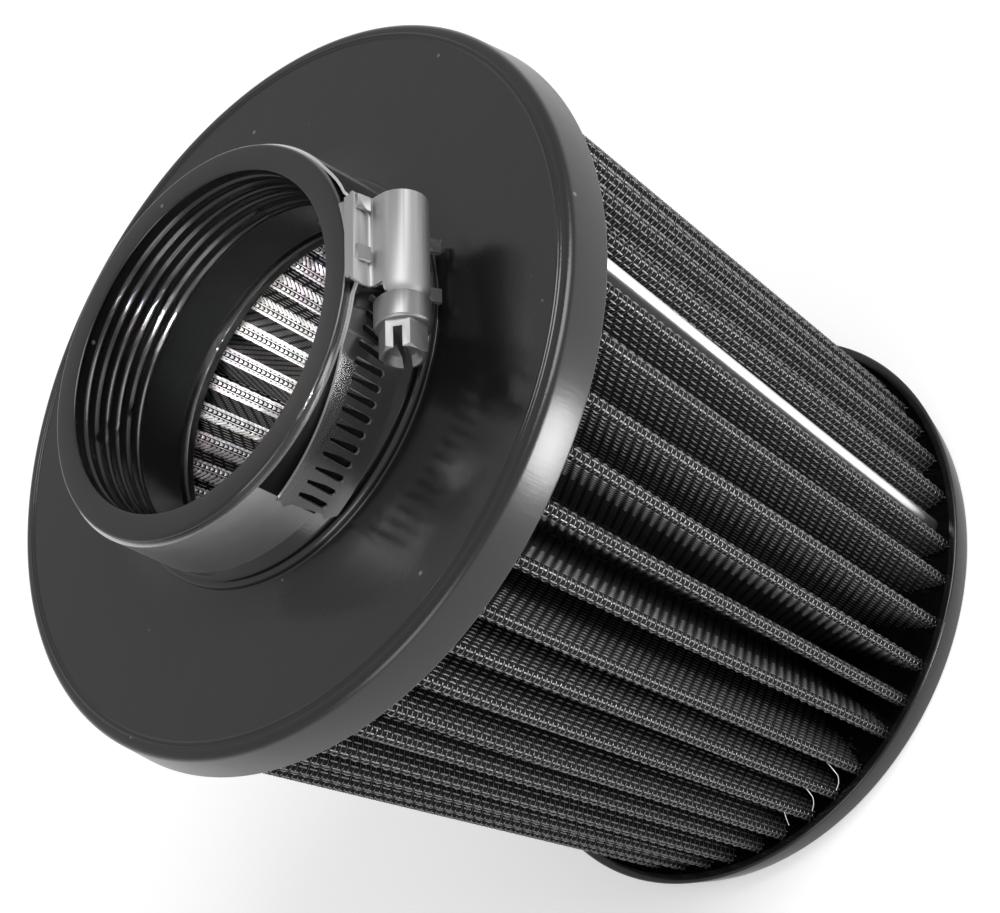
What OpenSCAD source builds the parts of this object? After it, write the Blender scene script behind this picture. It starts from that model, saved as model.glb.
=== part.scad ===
// Cone air filter with a clamp-on neck: a pleated cone of coated gauze between a moulded
// base and a moulded end cap, with a worm drive clamp around the neck.
// The filter stands on its end cap. Its axis is Z and the mouth of the neck is on top.

/* [Filter body] */
// Height from the underside of the end cap to the face of the base
body_h = 138.6; // [90:0.1:240]
// Radius of the base at the front of its rim
base_r = 76; // [70:0.5:110]
// How much wider the rim of the base is at its back
base_flare = 0.6; // [0:0.1:2]
// Thickness of the base
base_t = 9.4; // [6:0.1:16]
// Radius of the rounded front edge of the base
base_edge = 1.8; // [0.5:0.1:4]
// Radius of the end cap at the top of its wall
cap_r = 61.4; // [56:0.1:66]
// How much smaller the end cap's radius is at its underside
cap_draft = 2; // [0:0.1:4]
// Height of the end cap's wall
cap_h = 6.8; // [5:0.1:14]
// Thickness of the end cap under the pleats
cap_floor_t = 5; // [3:0.1:5]

/* [Neck] */
// Radius of the bore at the crests of its ribs
bore_r = 34.9; // [30:0.1:38]
// Depth of the grooves between the ribs
rib_d = 0.7; // [0.3:0.1:1.2]
// Number of ribs inside the neck
ribs = 6; // [2:1:7]
// Distance from one rib to the next
rib_spacing = 2.7; // [2:0.1:3]
// Thickness of the neck's wall at the crests of its ribs
neck_t = 5.5; // [4.5:0.1:7]
// Height of the neck above the face of the base
neck_h = 22.1; // [19:0.1:40]
// How far the bead at the foot of the neck stands out
bead_w = 2.2; // [1.6:0.1:3]

/* [Pleats] */
// Number of pleats, the clipped one included
pleats = 46; // [30:1:48]
// Radius to the pleat tips under the base
tip_r = 73.3; // [68:0.1:75]
// Radius to the pleat tips at the end cap
tip_r_cap = 58.2; // [54:0.1:59]
// Depth of a pleat from its tip to its inner fold
pleat_depth = 30; // [20:0.5:32]
// Gap inside a folded tip under the base
tip_gap = 1; // [0.6:0.1:1.4]
// Gap inside a folded tip at the end cap
tip_gap_cap = 0.4; // [0.2:0.1:0.8]
// Gap inside an inner fold
fold_gap = 0.3; // [0.2:0.1:0.5]
// Gap inside the tip of the clipped pleat
seam_gap = 0.1; // [0.1:0.05:0.4]
// Thickness of the coated gauze
gauze_t = 0.6; // [0.4:0.1:0.8]
// Thickness of each wire mesh
mesh_t = 0.25; // [0.15:0.05:0.3]
// Turn of the clipped pleat from the X axis at the end cap, in degrees
seam_turn = -50.7; // [-180:0.1:180]
// Turn of the pleats at the base against those at the end cap, in degrees
lean_turn = 1.6; // [-4:0.1:4]
// How far the tip of the clipped pleat sits below the other tips
seam_drop = 5.5; // [4:0.1:12]

/* [Seam clip] */
// Thickness of the clip's sheet
clip_t = 0.3; // [0.2:0.05:0.5]
// Height of the clip's sides
clip_side = 5; // [2:0.1:8]

/* [Hose clamp] */
// Width of the clamp's band
band_w = 14.2; // [12:0.1:15]
// Thickness of the band
band_t = 0.6; // [0.4:0.05:0.8]
// Height of the band's lower edge above the face of the base
band_lift = 6.1; // [5.2:0.1:7]
// Turn of the screw from the X axis, in degrees
screw_turn = -48.8; // [-180:0.1:180]
// Turn from the screw to the end of the band's free tail, in degrees
tail_span = 67.8; // [40:0.1:150]
// Turn from the screw to the place where the tail bends down, in degrees
tail_from = 25; // [22:0.5:30]
// How far the tail runs down from the band, in degrees
tail_tilt = 7; // [1:0.5:8]
// Gap under the end of the tail
tail_gap = 0.5; // [0.1:0.1:2]
// Distance from one slot of the band to the next
slot_spacing = 3; // [2.6:0.05:3.6]
// Length of a slot
slot_l = 7.6; // [6:0.1:9]
// Width of a slot
slot_w = 1.4; // [1.3:0.1:1.6]
// Slant of the slots, in degrees
slot_slant = 9; // [0:0.5:9]
// Thickness of the saddle's sheet
saddle_t = 0.7; // [0.5:0.05:0.9]
// Room beside the band inside the saddle
side_room = 1.1; // [0.05:0.05:1.4]
// Length of the screw housing
housing_l = 21.6; // [20:0.1:24]
// Thickness of the housing's sheet
housing_t = 0.7; // [0.5:0.05:0.9]
// Radius of the fillet between the housing's dome and its feet
fillet_r = 1; // [0.5:0.1:1.2]
// Radius of the screw's thread
screw_r = 3.75; // [3.4:0.05:4.2]
// How deep the thread reaches into the slots
thread_bite = 0.15; // [0.1:0.05:0.3]
// Room between the thread and the housing's dome
dome_room = 0.75; // [0.3:0.05:1]
// Length of the screw's collar
collar_l = 5.7; // [3:0.1:6]
// Clearance of the collar over the band
collar_gap = 0.15; // [0.1:0.05:0.6]
// Width across the flats of the screw's head
head_af = 8; // [7:0.1:9]
// Length of the screw's head
head_l = 5.9; // [5:0.1:9]
// Width of the slot across the head
driver_w = 1.7; // [1:0.1:2]
// Depth of the slot across the head
driver_d = 4.4; // [2:0.1:4.8]
// Clearance of the screw in its housing
screw_gap = 0.15; // [0.1:0.05:0.3]

/* [Hidden] */
$fn = 96;
rubber = [0.09, 0.09, 0.09];
steel = [0.78, 0.79, 0.8];

// A cut runs past the face that it opens by this much, and sheets that fit lie this far apart
over = 1;
fit_gap = 0.05;

// Heights of the filter's main faces
base_z = body_h - base_t;
mouth_z = body_h + neck_h;
media_z = cap_floor_t;
pack_t = gauze_t + 2 * mesh_t;

// Points of an arc round (cx, cz), from one angle to another
function arc(cx, cz, r, from, to, n = 6) =
    [for (i = [0:n]) let (a = from + (to - from) * i / n) [cx + r * cos(a), cz + r * sin(a)]];

// Section through the base and neck: radius first, height second
neck_r = bore_r + neck_t;
neck_edge = 0.8;
lip_h = 1.8;
lip_slope = 0.6;
mouth_h = 0.6;
mouth_slope = 0.5;
wall_r = bore_r + rib_d;
groove_r = wall_r + 0.7;
groove_z = base_z + lip_h + lip_slope;
groove_w = 1;
rib_top = mouth_z - 1.6;
rib_h = 0.55 * rib_spacing;
rib_crest = [0.35, 0.75];
bead_r = neck_r + bead_w;
bead_h = 1.9;
bead_edge = 1.15;
ridge_r = base_r - base_edge - 1.3;
ridge_w = 0.5;
ridge_foot_w = 1;
ridge_h = 0.35;
back_edge = 0.6;

function rib_section() = [
    for (i = [ribs - 1:-1:0]) let (z = rib_top - (i + 1) * rib_spacing)
        each [
            [wall_r, z], [bore_r, z + rib_h * rib_crest[0]],
            [bore_r, z + rib_h * rib_crest[1]], [wall_r, z + rib_h]
        ]
];

module base_section() {
    polygon(concat(
        [[bore_r, base_z], [bore_r, base_z + lip_h]],
        [[groove_r, groove_z], [groove_r, groove_z + groove_w], [wall_r, groove_z + groove_w + lip_slope]],
        rib_section(),
        [[wall_r, mouth_z - mouth_h - mouth_slope], [bore_r, mouth_z - mouth_h], [bore_r, mouth_z]],
        arc(neck_r - neck_edge, mouth_z - neck_edge, neck_edge, 90, 0),
        [[neck_r, body_h + bead_h]],
        arc(bead_r - bead_edge, body_h + bead_h - bead_edge, bead_edge, 80, 0),
        [[bead_r, body_h]],
        [[ridge_r - ridge_foot_w / 2, body_h], [ridge_r - ridge_w / 2, body_h + ridge_h]],
        [[ridge_r + ridge_w / 2, body_h + ridge_h], [ridge_r + ridge_foot_w / 2, body_h]],
        arc(base_r - base_edge, body_h - base_edge, base_edge, 90, 0),
        arc(base_r + base_flare - back_edge, base_z + back_edge, back_edge, 0, -90)
    ));
}

module base_flange() {
    color(rubber) rotate_extrude($fn = 180) base_section();
}

// The end cap is a shallow dish. The pleats stand on its floor.
cap_foot_r = cap_r - cap_draft;
cap_wall_in = cap_r - 2.1;
cap_wall_draft = 0.4;
cap_foot_edge = 0.8;
cap_edge = 0.5;

module end_cap() {
    color(rubber) rotate_extrude($fn = 180) polygon(concat(
        [[0, 0], [cap_foot_r - cap_foot_edge, 0]],
        arc(cap_foot_r - cap_foot_edge, cap_foot_edge, cap_foot_edge, -60, 0, 4),
        arc(cap_r - cap_edge, cap_h - cap_edge, cap_edge, 0, 90, 4),
        [[cap_wall_in + cap_wall_draft, cap_h], [cap_wall_in, cap_floor_t], [0, cap_floor_t]]
    ));
}

// Steps between neighbouring tips, as shares of an even step. The first list counts up from
// the clipped pleat and the second counts down from it. The other pleats are evenly spaced.
steps_up = [0.75, 1.19, 1.09, 1.02, 1.15];
steps_down = [0.7, 1, 1.18, 1.19, 1.02, 0.96, 1.21, 0.9, 0.93, 0.98, 0.83, 0.98, 0.8, 0.9, 0.92];

uneven = len(steps_up) + len(steps_down);

function total(v, i = 0) = i < len(v) ? v[i] + total(v, i + 1) : 0;

even_step = (pleats - total(steps_up) - total(steps_down)) / (pleats - uneven);

function step(i) =
    i < len(steps_up) ? steps_up[i]
    : i >= pleats - len(steps_down) ? steps_down[pleats - 1 - i]
    : even_step;

tip_turns = [
    for (i = 0, a = 0; i <= pleats; a = a + step(i % pleats) * 360 / pleats, i = i + 1) a
];

// Points of one face of the pleated pack at one height. The depth counts from the outside in:
// 0 is the outer face and pack_t is the inner face. The first pleat is the clipped one.
arc_steps = 3;
tip_w = 2 * pack_t + tip_gap;
tip_w_cap = 2 * pack_t + tip_gap_cap;
fold_w = 2 * pack_t + fold_gap;
seam_w = 2 * pack_t + seam_gap;
function pleat_arc(c, turn, r, from, to) = [
    for (k = [0:arc_steps]) let (a = turn + from + (to - from) * k / arc_steps)
        [c * cos(turn) + r * cos(a), c * sin(turn) + r * sin(a)]
];

function pleat_line(depth, tip, width, start) =
    let (fold_c = tip - pleat_depth + fold_w / 2)
    [
        for (i = [0:pleats - 1])
            let (
                turn = start + tip_turns[i],
                next = start + (tip_turns[i] + tip_turns[i + 1]) / 2,
                w = i == 0 ? seam_w : width,
                c = i == 0 ? tip - seam_drop - w / 2 : tip - w / 2
            )
            each concat(
                pleat_arc(c, turn, w / 2 - depth, -90, 90),
                pleat_arc(fold_c, next, fold_w / 2 - pack_t + depth, 270, 90)
            )
    ];

// A closed pleated wall between two depths of the pack
module pleated_wall(from, to) {
    low = [for (depth = [from, to]) each pleat_line(depth, tip_r_cap, tip_w_cap, seam_turn)];
    high = [for (depth = [from, to]) each pleat_line(depth, tip_r, tip_w, seam_turn + lean_turn)];
    n = len(low) / 2;
    polyhedron(
        points = concat(
            [for (p = low) [p[0], p[1], media_z]],
            [for (p = high) [p[0], p[1], base_z]]
        ),
        faces = [
            for (i = [0:n - 1]) let (j = (i + 1) % n) each [
                [i, j + 2 * n, j], [i, i + 2 * n, j + 2 * n],
                [i + n, j + n, j + 3 * n], [i + n, j + 3 * n, i + 3 * n],
                [i, j, j + n], [i, j + n, i + n],
                [i + 2 * n, j + 3 * n, j + 2 * n], [i + 2 * n, i + 3 * n, j + 3 * n]
            ]
        ]
    );
}

module outer_mesh() {
    color([0.2, 0.2, 0.2]) pleated_wall(0, mesh_t);
}

module gauze_media() {
    color([0.12, 0.12, 0.12]) pleated_wall(mesh_t, mesh_t + gauze_t);
}

module inner_mesh() {
    color([0.8, 0.8, 0.8]) pleated_wall(mesh_t + gauze_t, pack_t);
}

// A folded strip over the tip of the clipped pleat, from the end cap to the base. Its sides
// spread as the legs of the pleat do on their way to the inner folds.
clip_steps = 6;

function clip_spread(tip) =
    let (
        half = max(steps_up[0], steps_down[0]) * 180 / pleats,
        c = tip - seam_drop - seam_w / 2,
        fold_c = tip - pleat_depth + fold_w / 2
    )
    fit_gap + clip_side * max(0, fold_c * sin(half) - (fold_gap + seam_w) / 2) / (c - fold_c * cos(half));

function clip_half(tip, turn, grow) =
    let (r = seam_w / 2 + grow, c = tip - seam_drop - seam_w / 2, side = r + clip_spread(tip))
    [
        for (p = concat([[c - clip_side, -side]], arc(c, 0, r, -90, 90, clip_steps), [[c - clip_side, side]]))
            [p[0] * cos(turn) - p[1] * sin(turn), p[0] * sin(turn) + p[1] * cos(turn)]
    ];

function clip_line(tip, turn) =
    let (inside = clip_half(tip, turn, 0))
    concat(clip_half(tip, turn, clip_t), [for (i = [len(inside) - 1:-1:0]) inside[i]]);

module seam_clip() {
    low = clip_line(tip_r_cap, seam_turn);
    high = clip_line(tip_r, seam_turn + lean_turn);
    n = len(low);
    color(steel) polyhedron(
        points = concat([for (p = low) [p[0], p[1], media_z]], [for (p = high) [p[0], p[1], base_z]]),
        faces = concat(
            [for (i = [0:n - 1]) let (j = (i + 1) % n) each [[i, j + n, j], [i, i + n, j + n]]],
            [for (i = [0:n / 2 - 2]) each [
                [i, i + 1, n - 2 - i], [i, n - 2 - i, n - 1 - i],
                [n + i, 2 * n - 2 - i, n + i + 1], [n + i, 2 * n - 1 - i, 2 * n - 2 - i]
            ]]
        )
    );
}

// The band is one strip. Its inner turn lies on the neck and its slotted tail lies on that.
// A turn along the strip counts from the screw's place towards the head of the screw. Near the
// screw the strip rides up over the saddle, and before that it climbs onto its own first end.
whole_turn = 360;
strip_step = 3;
layer_gap = 0.05;
tail_r = neck_r + band_t + layer_gap;
tail_top = (tail_r + saddle_t + layer_gap) / cos(strip_step / 2) + band_t;
band_mid = body_h + band_lift + band_w / 2;
climb = 14;

// The feet and flanks of the housing, along the screw, and the saddle under them
screw_shift = 1.5;
dome_end = 2.4;
housing_back = -housing_l / 2 - screw_shift;
housing_front = housing_l / 2 - screw_shift;
flank_edge = [0.5, 1.4];
flank_back = housing_back + flank_edge[0];
flank_front = housing_front - dome_end - flank_edge[1];
saddle_edge = [0.4, 0.6];
saddle_back = (saddle_edge[0] - flank_back) / tail_r * 180 / PI;
saddle_front = (flank_front - saddle_edge[1]) / tail_r * 180 / PI;
strip_start = 1 - saddle_back;
climb_end = whole_turn - saddle_back - 2 * strip_step;

function smooth(u) = let (v = max(0, min(1, u))) v * v * (3 - 2 * v);

function lift(s) =
    let (t = (s + whole_turn / 2) % whole_turn - whole_turn / 2)
    t > -saddle_back - strip_step && t < saddle_front + strip_step ? saddle_t + layer_gap : 0;

function strip_r(s) =
    (neck_r + lift(s) + (band_t + layer_gap) * smooth((s - climb_end + climb) / climb)) / cos(strip_step / 2);

// The tail leans down in a plane of its own, so its lower edge comes nearer to the neck and the
// tail stands off by as much
tail_join = 1.2;

function stand(s) =
    let (p = max(0, s - whole_turn - tail_from))
    layer_gap + tail_gap * p / (tail_span - tail_from)
    + sin(tail_tilt) * sin(p) * band_w / 2 + (1 - cos(tail_tilt)) * sin(p) * sin(p) * neck_r;

function steps_to(from, to) = concat([for (s = [from:strip_step:to - strip_step / 4]) s], [to]);

module strip(turns, tail = false) {
    radii = [for (s = turns) strip_r(s) + (tail ? stand(s) : 0)];
    translate([0, 0, -band_w / 2]) linear_extrude(band_w) polygon(concat(
        [for (i = [0:len(turns) - 1]) (radii[i] + band_t) * [cos(turns[i]), -sin(turns[i])]],
        [for (i = [len(turns) - 1:-1:0]) radii[i] * [cos(turns[i]), -sin(turns[i])]]
    ));
}

module tail_plane() {
    rotate([0, 0, -tail_from]) rotate([tail_tilt, 0, 0]) rotate([0, 0, tail_from]) children();
}

// Places a cutter at one turn of the strip, from just under its outer layer outwards
cut_l = 3 * band_t;
module at_strip(s, off) {
    rotate([0, 0, -s]) translate([strip_r(s + whole_turn) + off - layer_gap / 2, 0, 0]) children();
}

module slot_cut() {
    straight = slot_l - slot_w;
    rotate([-slot_slant, 0, 0]) {
        translate([0, -slot_w / 2, -straight / 2]) cube([cut_l, slot_w, straight]);
        for (z = [-1, 1]) translate([0, 0, z * straight / 2])
            rotate([0, 90, 0]) cylinder(r = slot_w / 2, h = cut_l, $fn = 24);
    }
}

// The end of the tail has a round notch and two bevelled corners
notch_r = 7.2;
notch_d = 1.8;
corner_l = 1.4;
corner_h = 2;
module tail_end_cut() {
    translate([0, notch_d - notch_r, 0]) rotate([0, 90, 0]) cylinder(r = notch_r, h = cut_l);
    for (z = [-1, 1]) rotate([90, 0, 90]) linear_extrude(cut_l) polygon([
        [corner_l, z * band_w / 2], [corner_l, z * (band_w / 2 + over)], [-over, z * (band_w / 2 + over)],
        [-over, z * (band_w / 2 - corner_h)], [0, z * (band_w / 2 - corner_h)]
    ]);
}

// The slots keep step with the thread, which is set off from the screw's middle by a share
slot_phase = -0.3;
first_slot = -2;
slot_step = slot_spacing / tail_top * 180 / PI;
last_slot = floor((tail_span - slot_w) / slot_step - slot_phase);
slot_turns = [for (i = [first_slot:last_slot]) (i + slot_phase) * slot_step];

module clamp_band() {
    color(steel) rotate([0, 0, screw_turn]) translate([0, 0, band_mid]) difference() {
        union() {
            strip(steps_to(strip_start, whole_turn + tail_from));
            tail_plane() strip(steps_to(whole_turn + tail_from - tail_join, whole_turn + tail_span), true);
        }
        for (s = slot_turns) if (s < tail_from) at_strip(s, 0) slot_cut();
        tail_plane() {
            for (s = slot_turns) if (s > tail_from) at_strip(s, stand(s + whole_turn)) slot_cut();
            at_strip(tail_span, stand(tail_span + whole_turn)) tail_end_cut();
        }
    }
}

// Places what follows in the screw's own frame: X along the screw towards its head,
// Y outwards from the screw's axis and Z along the filter's axis
screw_c = tail_top + screw_r - thread_bite;
module at_screw() {
    rotate([0, 0, screw_turn]) translate([screw_c, 0, band_mid]) rotate([0, 0, -90]) children();
}

// The housing is a formed sheet: a half tube over the screw, a flat foot along each side and
// a flank folded down from each foot. Each foot has two slots for the saddle's lugs.
thread_h = 0.8;
root_r = screw_r - thread_h;
housing_in = screw_r + dome_room;
dome_r = housing_in + housing_t;
dome_bevel = [0.3, 1];
foot_low = tail_top - screw_c;
foot_top = foot_low + housing_t;
side_in = band_w / 2 + side_room;
side_out = side_in + saddle_t;
side_mid = (side_in + side_out) / 2;
flank_in = side_out + fit_gap;
flank_out = flank_in + housing_t;
flank_low = neck_r + 0.5 - screw_c;
joined = 0.01;

// Outline of the housing's foot, across the screw, drawn in by t. The sheet is what lies between
// the outline at 0 and the one at the sheet's thickness.
module foot_outline(t, low) {
    wall = dome_r - t;
    translate([-wall, low]) square([2 * wall, joined - low + t]);
    translate([t - flank_out, low]) square([2 * (flank_out - t), foot_top - t - low]);
    difference() {
        translate([-dome_r - fillet_r, low]) square([2 * (dome_r + fillet_r), foot_top + fillet_r - low]);
        for (z = [-1, 1]) translate([z * (dome_r + fillet_r), foot_top + fillet_r]) circle(r = fillet_r + t);
    }
}

// Lugs of the saddle: on the mouth's side they are bent in over the foot, and on the other
// side they are bent out past it. Each pair is set off along the screw.
lug_l = 3;
lug_edge = 1.65;
lug_skew = 0.8;
lug_reach = (flank_front - flank_back - lug_l) / 2 - lug_edge;
lug_mid = flank_back + lug_l / 2 + lug_reach + lug_skew;
lug_bend = [65, 80];
lug_h = [3.6, 2.9];
lug_starts = [for (s = [-1, 1]) for (t = [-1, 1]) [s, lug_mid - s * lug_skew + t * lug_reach - lug_l / 2]];

module clamp_housing() {
    neck = root_r + screw_gap;
    foot_l = housing_front - dome_end - housing_back;
    color(steel) at_screw() difference() {
        union() {
            rotate([0, 90, 0]) rotate_extrude(angle = 180) polygon([
                [housing_in, housing_back], [dome_r, housing_back], [dome_r, housing_front - dome_end],
                [dome_r - dome_bevel[0], housing_front - dome_end / 2],
                [dome_r - dome_bevel[1], housing_front], [neck, housing_front],
                [neck, housing_front - housing_t], [housing_in, housing_front - housing_t]
            ]);
            translate([housing_back, 0, 0]) rotate([0, 90, 0]) linear_extrude(foot_l) difference() {
                foot_outline(0, foot_low);
                foot_outline(housing_t, foot_low - over);
            }
            for (s = [-1, 1]) translate([flank_back, flank_low, s > 0 ? flank_in : -flank_out])
                cube([flank_front - flank_back, foot_low + joined - flank_low, housing_t]);
        }
        for (lug = lug_starts)
            translate([lug[1] - fit_gap, foot_low - over, lug[0] * side_mid - saddle_t / 2 - fit_gap])
                cube([lug_l + 2 * fit_gap, housing_t + 2 * over, saddle_t + 2 * fit_gap]);
    }
}

// The saddle lies between the neck and the band. Its sides stand beside the band, and two
// lugs on each side pass through the housing's feet and are bent over.
module saddle_arc(r0, r1, low, high) {
    translate([0, 0, band_mid + low]) rotate([0, 0, screw_turn - saddle_front])
        rotate_extrude(angle = saddle_front + saddle_back, $fn = 180)
            translate([r0, 0]) square([r1 - r0, high - low]);
}

module clamp_saddle() {
    side_r = tail_top - fit_gap;
    color(steel) {
        saddle_arc(neck_r, neck_r + saddle_t, -side_out, side_out);
        saddle_arc(neck_r, side_r, side_in, side_out);
        saddle_arc(neck_r, side_r, -side_out, -side_in);
        at_screw() for (lug = lug_starts) {
            i = (lug[0] + 1) / 2;
            translate([lug[1], 0, lug[0] * side_mid]) {
                translate([0, flank_low, -saddle_t / 2])
                    cube([lug_l, foot_top + saddle_t / 2 - flank_low, saddle_t]);
                translate([0, foot_top + saddle_t / 2, 0]) rotate([-lug_bend[i], 0, 0])
                    translate([0, -saddle_t / 2, -saddle_t / 2]) cube([lug_l, lug_h[i], saddle_t]);
            }
        }
    }
}

// The screw: a worm inside the housing, then a neck, a collar and a slotted hexagonal head.
// The collar just clears the band, which curves away under it.
collar_x = housing_front + 0.2;
collar_edge = 0.4;
band_top = tail_r / cos(strip_step / 2) + band_t;
collar_r = screw_c - sqrt(pow(band_top, 2) - pow(collar_x + collar_edge, 2)) - collar_gap;
thread_foot_w = 1.2;
thread_tip_w = 0.5;
worm_end = 0.65;
dish_d = 1.6;
dish_slope = 1;
dish_r = head_af / 2 - 0.5;
corner_r = head_af / sqrt(3);
head_bevel = 0.5;
slot_in_head = -30;

module thread_ring() {
    foot = thread_foot_w / 2;
    tip = thread_tip_w / 2;
    rotate_extrude() polygon([
        [root_r - thread_h, -foot], [root_r, -foot], [screw_r, -tip],
        [screw_r, tip], [root_r, foot], [root_r - thread_h, foot]
    ]);
}

module clamp_screw() {
    worm_from = housing_back + thread_h;
    worm_to = housing_front - housing_t - screw_gap;
    first = ceil((worm_from + worm_end) / slot_spacing - slot_phase);
    last = floor((worm_to - worm_end) / slot_spacing - slot_phase);
    color(steel) at_screw() rotate([0, 90, 0]) {
        translate([0, 0, worm_from]) cylinder(r = root_r, h = collar_x - worm_from + collar_edge);
        for (i = [first:last]) translate([0, 0, (i + slot_phase) * slot_spacing]) thread_ring();
        translate([0, 0, collar_x]) rotate_extrude() polygon([
            [0, 0], [collar_r - collar_edge, 0], [collar_r, collar_edge],
            [collar_r, collar_l - collar_edge], [collar_r - collar_edge, collar_l], [0, collar_l]
        ]);
        translate([0, 0, collar_x + collar_l]) difference() {
            intersection() {
                cylinder(r = corner_r, h = head_l, $fn = 6);
                rotate_extrude() polygon([
                    [0, 0], [corner_r + over, 0], [corner_r + over, head_l - head_bevel],
                    [corner_r, head_l - head_bevel], [head_af / 2, head_l], [0, head_l]
                ]);
            }
            translate([0, 0, head_l - dish_d]) cylinder(
                r1 = dish_r - dish_slope, r2 = dish_r + dish_slope * over / dish_d, h = dish_d + over
            );
            rotate([0, 0, slot_in_head]) translate([-head_af, -driver_w / 2, head_l - driver_d])
                cube([2 * head_af, driver_w, driver_d + over]);
        }
    }
}

base_flange();
end_cap();
outer_mesh();
gauze_media();
inner_mesh();
seam_clip();
clamp_band();
clamp_saddle();
clamp_housing();
clamp_screw();
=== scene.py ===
# A cone air filter: a pleated cone of wire-backed gauze between two black mouldings, with a
# worm drive clamp round its neck. It stands on its end cap, with its axis along Z and the
# mouth of the neck on top. Sizes are in millimetres and turns in degrees from the X axis.
import math

import bmesh
import bpy
import numpy as np
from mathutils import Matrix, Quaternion, Vector


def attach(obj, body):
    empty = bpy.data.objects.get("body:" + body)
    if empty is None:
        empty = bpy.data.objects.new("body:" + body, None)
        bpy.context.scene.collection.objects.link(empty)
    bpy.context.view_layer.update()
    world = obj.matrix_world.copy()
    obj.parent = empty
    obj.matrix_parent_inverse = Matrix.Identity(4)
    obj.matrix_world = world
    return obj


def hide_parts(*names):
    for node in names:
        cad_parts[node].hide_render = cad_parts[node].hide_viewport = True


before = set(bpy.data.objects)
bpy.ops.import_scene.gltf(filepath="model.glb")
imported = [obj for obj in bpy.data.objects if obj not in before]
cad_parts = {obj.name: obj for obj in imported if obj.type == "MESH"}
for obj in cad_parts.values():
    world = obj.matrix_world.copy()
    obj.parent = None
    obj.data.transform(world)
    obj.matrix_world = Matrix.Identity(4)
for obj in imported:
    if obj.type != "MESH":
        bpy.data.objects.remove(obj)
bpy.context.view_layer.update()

# Camera
# A long lens looks down on the mouth of the neck from the front. It is rolled, so that the
# filter's axis runs from the upper left of the picture to the lower right.
MM = 0.001
scene = bpy.context.scene
camera_data = bpy.data.cameras.new("camera")
camera_data.lens = 136.585
camera_data.sensor_width = 36
camera_data.clip_start = 0.05
camera_data.clip_end = 20
camera = bpy.data.objects.new("camera", camera_data)
scene.collection.objects.link(camera)
camera_look = Vector((0, 0.77468, -0.63236))
camera_roll = Quaternion((0, 0, 1), math.radians(-62.94))
camera.location = Vector((6.463, -593.33, 566.07)) * MM
camera.rotation_mode = "QUATERNION"
camera.rotation_quaternion = camera_look.to_track_quat("-Z", "Y") @ camera_roll
scene.camera = camera

# Floor and light
# A wide floor of pale paper, with large soft lamps above and beside it. A small low lamp gives the
# rim of the base its gleam, and a narrow one lights the inner mesh through the neck.
FLOOR_R = 4000
FLOOR_GREY = 0.8
FLOOR_LIFT = 0.3
WORLD_LIGHT = 0.6


def maths(nodes, links, kind, first, second=None):
    """The result of a Math node. The second value, where the kind needs one, is a socket or a number."""
    made = nodes.new("ShaderNodeMath")
    made.operation = kind
    links.new(first, made.inputs[0])
    if isinstance(second, float):
        made.inputs[1].default_value = second
    elif second is not None:
        links.new(second, made.inputs[1])
    return made.outputs[0]


def paper_material():
    """Matt paper. Where it is seen straight, mirrored or through glass, a little glow is added, so that it
    looks white."""
    paper = bpy.data.materials.new("paper_floor")
    paper.use_nodes = True
    nodes, links = paper.node_tree.nodes, paper.node_tree.links
    nodes.clear()
    rays = nodes.new("ShaderNodeLightPath")
    seen = maths(nodes, links, "MAXIMUM", rays.outputs["Is Camera Ray"], rays.outputs["Is Glossy Ray"])
    seen = maths(nodes, links, "MAXIMUM", seen, rays.outputs["Is Transmission Ray"])
    glow = nodes.new("ShaderNodeEmission")
    links.new(maths(nodes, links, "MULTIPLY", seen, FLOOR_LIFT), glow.inputs["Strength"])
    matt = nodes.new("ShaderNodeBsdfDiffuse")
    matt.inputs["Color"].default_value = (FLOOR_GREY, FLOOR_GREY, FLOOR_GREY, 1)
    both = nodes.new("ShaderNodeAddShader")
    links.new(glow.outputs[0], both.inputs[0])
    links.new(matt.outputs[0], both.inputs[1])
    out = nodes.new("ShaderNodeOutputMaterial")
    links.new(both.outputs[0], out.inputs["Surface"])
    return paper


def floor_sheet():
    """A square of paper in the plane of the underside of the end cap."""
    mesh = bpy.data.meshes.new("floor")
    r = FLOOR_R * MM
    mesh.from_pydata([(-r, -r, 0), (r, -r, 0), (r, r, 0), (-r, r, 0)], [], [(0, 1, 2, 3)])
    mesh.materials.append(paper_material())
    sheet = bpy.data.objects.new("floor", mesh)
    scene.collection.objects.link(sheet)


floor_sheet()


def lamp(name, place, aim, size, power, spread=180):
    """A rectangular lamp at `place` that faces `aim`, both in millimetres. `size` is its width and
    height, and `spread` is the angle in degrees that its light fans out to."""
    data = bpy.data.lights.new(name, "AREA")
    data.shape = "RECTANGLE"
    data.size, data.size_y = size[0] * MM, size[1] * MM
    data.energy = power
    data.spread = math.radians(spread)
    made = bpy.data.objects.new(name, data)
    made.location = Vector(place) * MM
    made.rotation_mode = "QUATERNION"
    made.rotation_quaternion = (Vector(aim) - Vector(place)).to_track_quat("-Z", "Y")
    made.visible_camera = False
    scene.collection.objects.link(made)


lamp("key_lamp", (900, -500, 1300), (0, 0, 80), (900, 900), 14)
lamp("side_lamp", (-900, -900, 700), (0, 0, 80), (700, 700), 5)
lamp("rim_lamp", (53, -193, 47), (20, -76, 134), (60, 60), 0.24)
lamp("bore_lamp", (0, -300, 400), (5, 45, 113), (12, 12), 0.019, 7.6)

world = bpy.data.worlds.new("studio")
world.use_nodes = True
scene.world = world
world.node_tree.nodes["Background"].inputs["Color"].default_value = (1, 1, 1, 1)
world.node_tree.nodes["Background"].inputs["Strength"].default_value = WORLD_LIGHT
scene.view_settings.view_transform = "Standard"


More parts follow.
